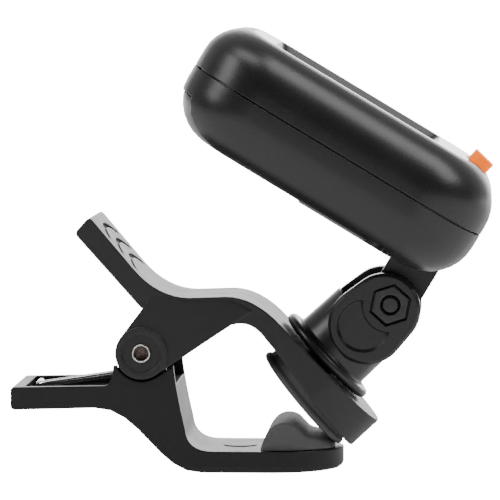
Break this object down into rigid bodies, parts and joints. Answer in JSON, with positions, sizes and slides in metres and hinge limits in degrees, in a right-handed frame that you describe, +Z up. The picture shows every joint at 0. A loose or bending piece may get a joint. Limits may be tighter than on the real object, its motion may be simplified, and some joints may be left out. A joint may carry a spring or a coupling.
{
  "type": "clip on tuner",
  "caption": "Sprung clip with rubber jaws carrying a turning yoke and a tilting pillow-shaped display head with a power button.",
  "frame": {"origin": "on the flat underside of the lower jaw, in the middle plane, under the lower pad", "axes": "+X from the handles to the jaw tips, +Y across the width, +Z up from the flat lower jaw"},
  "size_m": [0.0788, 0.046, 0.0727],
  "materials": {
    "black_plastic": "satin moulded black plastic",
    "grey_rubber": "matt dark grey rubber",
    "bright_steel": "bright plated steel",
    "black_steel": "black oxide steel",
    "nylon": "natural nylon",
    "display_lens": "glossy smoked acrylic",
    "display_glass": "display glass",
    "light_diffuser": "milky diffuser",
    "board_laminate": "green laminate",
    "chip_epoxy": "black epoxy",
    "brass": "plain brass",
    "orange_plastic": "satin orange plastic"
  },
  "bodies": {
    "clip_base": {"lower_arm": "black_plastic", "lower_pad": "grey_rubber", "pivot_rivet": "bright_steel", "torsion_spring": "bright_steel"},
    "clip_lever": {"upper_arm": "black_plastic", "upper_pad": "grey_rubber"},
    "swivel": {"yoke": "black_plastic", "swivel_washer": "bright_steel", "swivel_screw": "bright_steel", "tilt_nut": "black_steel", "tilt_bolt": "black_steel", "friction_washer_near": "nylon", "friction_washer_far": "nylon"},
    "head": {"rear_shell": "black_plastic", "front_shell": "black_plastic", "display_lens": "display_lens", "display_panel": "display_glass", "backlight": "light_diffuser", "circuit_board": "board_laminate", "chip": "chip_epoxy", "tact_switch": "chip_epoxy", "coin_cell": "bright_steel", "contact_negative": "brass", "contact_positive": "brass", "piezo_disc": "brass", "case_screw_near": "black_steel", "case_screw_far": "black_steel"},
    "door": {"battery_door": "black_plastic"},
    "button": {"power_button": "orange_plastic"}
  },
  "joints": [
    {"name": "clip_open", "type": "hinge", "parent": "clip_base", "child": "clip_lever", "pos_m": [-0.0243, 0, 0.0196], "axis": [0, -1, 0], "range_deg": [0, 55], "stiffness_Nm_per_rad": 0.08, "springref_deg": -42.97, "deforming": ["torsion_spring"]},
    {"name": "head_swivel", "type": "hinge", "parent": "clip_lever", "child": "swivel", "pos_m": [0.01582, 0, 0.02791], "axis": [0.7314, 0, 0.682], "continuous": true},
    {"name": "head_tilt", "type": "hinge", "parent": "swivel", "child": "head", "pos_m": [0.0163, 0, 0.0274], "axis": [0, -1, 0], "range_deg": [-100, 20]},
    {"name": "battery_door_slide", "type": "slide", "parent": "head", "child": "door", "axis": [-0.8572, 0, 0.515], "range_m": [0, 0.028]},
    {"name": "button_press", "type": "slide", "parent": "head", "child": "button", "axis": [-0.6947, 0, -0.7193], "range_m": [0, 0.0004], "stiffness_N_per_m": 1200, "springref_m": -0.0004}
  ]
}
